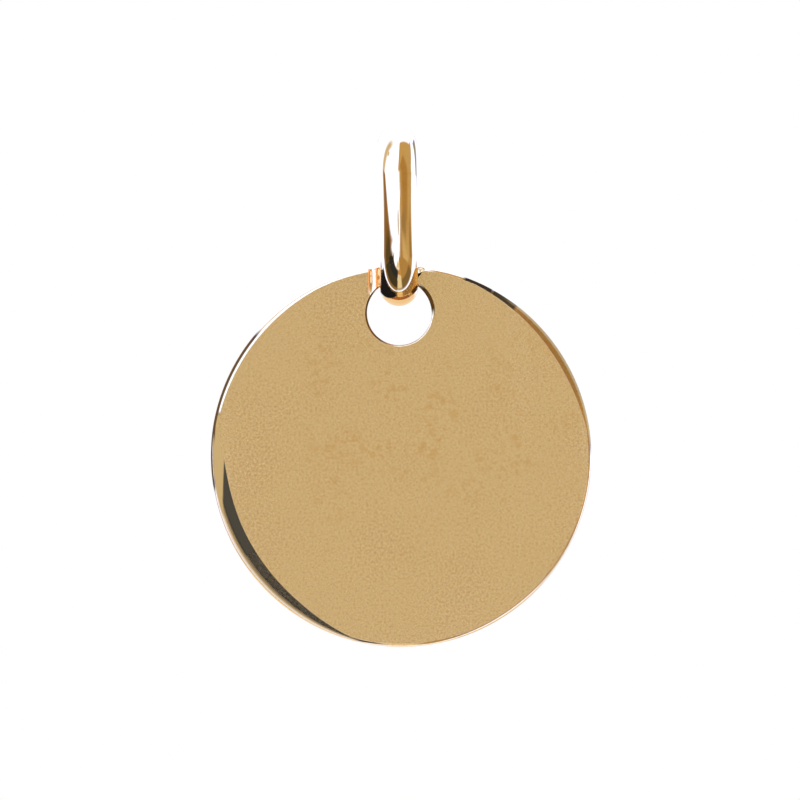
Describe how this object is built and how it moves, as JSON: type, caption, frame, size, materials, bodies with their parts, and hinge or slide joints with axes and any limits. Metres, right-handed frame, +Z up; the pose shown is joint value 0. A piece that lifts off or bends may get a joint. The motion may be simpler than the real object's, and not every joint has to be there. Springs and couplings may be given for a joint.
{
  "type": "medallion pendant",
  "caption": "Plain round polished disc with a hole near its rim, hanging from a long oval bail of half-round wire that a chain passes through.",
  "frame": {"origin": "inside top of the bail, midway across its width, where the pendant sits on its chain", "axes": "+Z up, +X from left to right along the chain and across the disc's face, +Y from the disc's front face to its back"},
  "size_m": [0.02, 0.0056, 0.0274],
  "materials": {
    "disc_gold": "gold plated, mirror polished by hand",
    "bail_gold": "gold plated, mirror polished"
  },
  "bodies": {
    "bail": {"bail": "bail_gold"},
    "disc": {"disc": "disc_gold"}
  },
  "joints": [
    {"name": "disc_swing", "type": "hinge", "parent": "bail", "child": "disc", "pos_m": [0, 0, -0.00565], "axis": [1, 0, 0], "range_deg": [-135, 135]}
  ]
}
